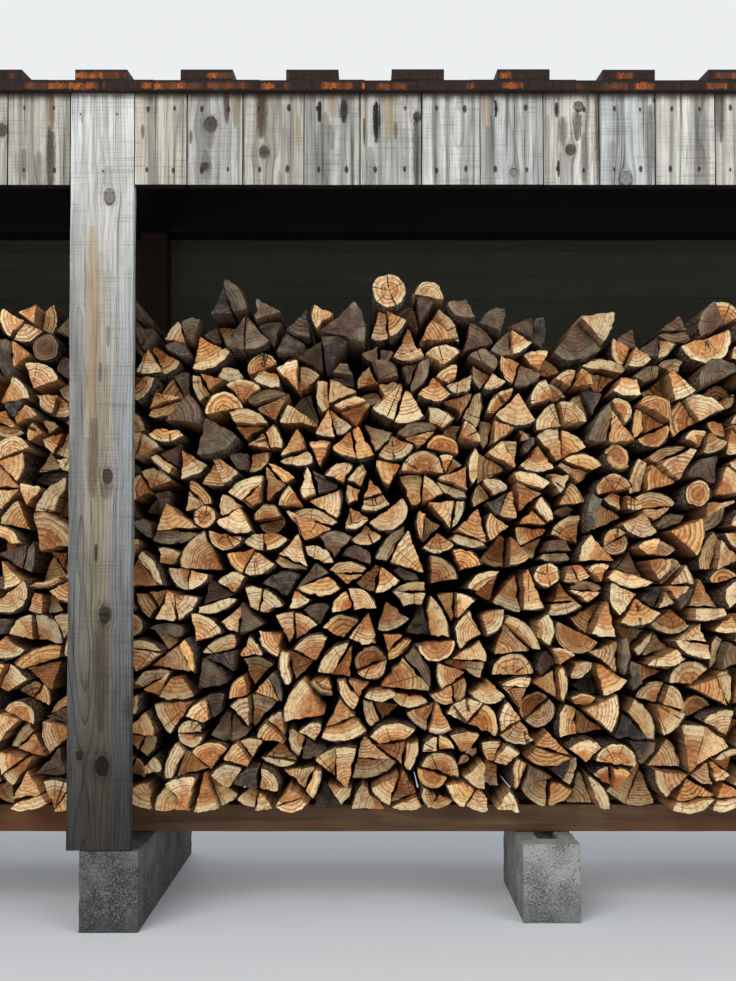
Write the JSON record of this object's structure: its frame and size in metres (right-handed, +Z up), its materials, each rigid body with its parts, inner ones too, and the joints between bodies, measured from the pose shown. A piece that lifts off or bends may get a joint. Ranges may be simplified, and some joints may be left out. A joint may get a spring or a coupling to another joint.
{
  "type": "log store",
  "caption": "Open-fronted log store on concrete blocks, with a sloping board roof, filled with split firewood",
  "frame": {"origin": "on the ground, in the middle of the roof's length and depth", "axes": "+X to the right along the front, -Y out of the open front, +Z up"},
  "size_m": [4.4992, 0.818, 2.159],
  "materials": {
    "grey_timber": "weathered, unpainted",
    "roof_timber": "stained dark, end grain weathered",
    "dark_timber": "stained nearly black",
    "brown_timber": "stained brown, weathered",
    "olive_timber": "stained dark olive",
    "firewood": "split, raw",
    "concrete": "rough cast"
  },
  "bodies": {
    "root": {"back_boards_left": "olive_timber", "back_boards_right": "olive_timber", "bay_block_left": "concrete", "bay_block_right": "concrete", "cross_beam_left": "dark_timber", "cross_beam_middle": "dark_timber", "cross_beam_right": "dark_timber", "end_slats_left": "grey_timber", "end_slats_right": "grey_timber", "fascia_boards_left": "grey_timber", "fascia_boards_right": "grey_timber", "firewood_left_bottom": "firewood", "firewood_left_lower": "firewood", "firewood_left_top": "firewood", "firewood_left_upper": "firewood", "firewood_right_bottom": "firewood", "firewood_right_lower": "firewood", "firewood_right_top": "firewood", "firewood_right_upper": "firewood", "front_block_left": "concrete", "front_block_middle": "concrete", "front_block_right": "concrete", "front_header_left": "dark_timber", "front_header_right": "dark_timber", "front_post_left": "grey_timber", "front_post_middle": "grey_timber", "front_post_right": "grey_timber", "front_sill_left": "brown_timber", "front_sill_right": "brown_timber", "rear_beam_left": "dark_timber", "rear_beam_right": "dark_timber", "rear_block_left": "concrete", "rear_block_middle": "concrete", "rear_block_right": "concrete", "rear_post_left": "brown_timber", "rear_post_middle": "brown_timber", "rear_post_right": "brown_timber", "rear_sill_left": "brown_timber", "rear_sill_right": "brown_timber", "roof_lower_boards_left": "roof_timber", "roof_lower_boards_right": "roof_timber", "roof_upper_boards_left": "roof_timber", "roof_upper_boards_right": "roof_timber"}
  },
  "joints": []
}
